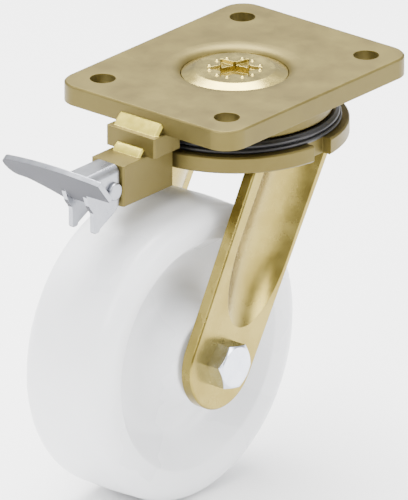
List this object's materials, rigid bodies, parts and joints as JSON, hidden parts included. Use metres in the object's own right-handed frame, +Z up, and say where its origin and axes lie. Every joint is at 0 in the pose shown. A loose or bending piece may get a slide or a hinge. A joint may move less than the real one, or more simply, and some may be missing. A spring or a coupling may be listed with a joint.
{
  "type": "swivel castor with swivel lock",
  "caption": "Heavy duty plate castor with a pressed steel fork, a solid white wheel, a ball swivel and a foot lever that locks the swivel.",
  "frame": {"origin": "centre of the top plate's mounting face, on the swivel axis", "axes": "+Z points up, out of the mounting face; the wheel trails towards -X, the side the lock and its lever are on; the wheel turns about Y"},
  "size_m": [0.201, 0.1113, 0.2016],
  "materials": {
    "yellow_passivated_steel": "satin, yellow zinc passivated",
    "bright_zinc": "bright zinc plate",
    "bearing_steel": "ground",
    "lever_steel": "satin zinc plate",
    "white_nylon": "smooth, half glossy",
    "black_rubber": "satin"
  },
  "bodies": {
    "plate": {"top_plate": "yellow_passivated_steel", "kingpin": "yellow_passivated_steel", "kingpin_washer": "bright_zinc", "kingpin_nut": "bright_zinc", "lower_race": "bearing_steel", "upper_balls": "bearing_steel", "lower_balls": "bearing_steel", "lock_spacer": "yellow_passivated_steel", "lock_housing": "yellow_passivated_steel", "spring_collar": "bearing_steel", "lock_spring": "bearing_steel"},
    "fork": {"fork_crown": "yellow_passivated_steel", "leg_near": "yellow_passivated_steel", "leg_far": "yellow_passivated_steel", "dust_seal": "black_rubber", "axle_bolt": "bright_zinc", "axle_washer": "bright_zinc", "axle_nut": "bright_zinc", "axle_tube": "bearing_steel", "axle_spacers": "bearing_steel", "inner_rings": "bearing_steel"},
    "wheel": {"wheel": "white_nylon", "outer_rings": "bearing_steel", "wheel_balls": "bearing_steel", "bearing_seals": "black_rubber"},
    "bolt": {"lock_bolt": "bearing_steel"},
    "pin": {"lever_pin": "bright_zinc"},
    "lever": {"lock_lever": "lever_steel"}
  },
  "joints": [
    {"name": "swivel", "type": "hinge", "parent": "plate", "child": "fork", "pos_m": [0, 0, -0.02925], "axis": [0, 0, 1], "continuous": true},
    {"name": "wheel_spin", "type": "hinge", "parent": "fork", "child": "wheel", "pos_m": [-0.056, 0, -0.1265], "axis": [0, 1, 0], "continuous": true},
    {"name": "bolt_slide", "type": "slide", "parent": "pin", "child": "bolt", "axis": [1, 0, 0], "range_m": [0, 0.0055], "deforming": ["lock_spring"]},
    {"name": "pin_slide", "type": "slide", "parent": "plate", "child": "pin", "axis": [-1, 0, 0], "range_m": [0, 0.0058]},
    {"name": "lever_turn", "type": "hinge", "parent": "pin", "child": "lever", "pos_m": [-0.1003, 0, -0.0315], "axis": [0, -1, 0], "range_deg": [0, 64]}
  ],
  "couplings": [
    {"joint": "pin_slide", "follows": "lever_turn", "m_per_rad": 0.0051924}
  ]
}
